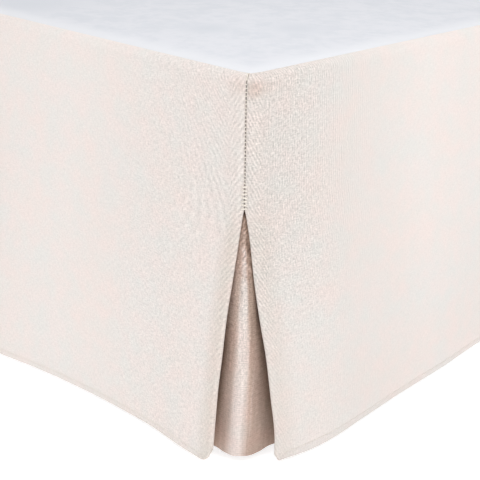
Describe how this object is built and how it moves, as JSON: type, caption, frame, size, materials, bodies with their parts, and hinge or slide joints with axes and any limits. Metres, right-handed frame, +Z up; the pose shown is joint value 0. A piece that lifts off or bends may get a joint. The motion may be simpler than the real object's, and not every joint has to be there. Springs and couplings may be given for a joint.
{
  "type": "bed skirt on a box spring",
  "caption": "Tailored cream bed skirt with inverted pleats at its foot corners, hanging from a flat decking round a plain box spring on legs.",
  "frame": {"origin": "on the floor under the middle of the whole outline, leaning foot drop included", "axes": "+Z up, -Y towards the foot of the bed, +Y towards the open head end, +X to the right seen from the foot"},
  "size_m": [1.0462, 1.9589, 0.389],
  "materials": {
    "skirt": "matte cream cotton and polyester cloth, fine ribbed plain weave",
    "decking": "thin smooth pale grey lining cloth",
    "box_spring": "plain off-white ticking",
    "leg": "dark stained satin"
  },
  "bodies": {
    "root": {"decking": "decking", "foot_drop": "skirt", "side_drop_left": "skirt", "side_drop_right": "skirt", "pleat_underlay_left": "skirt", "pleat_underlay_right": "skirt", "box_spring": "box_spring", "leg_foot_left": "leg", "leg_foot_right": "leg", "leg_head_left": "leg", "leg_head_right": "leg"}
  },
  "joints": []
}
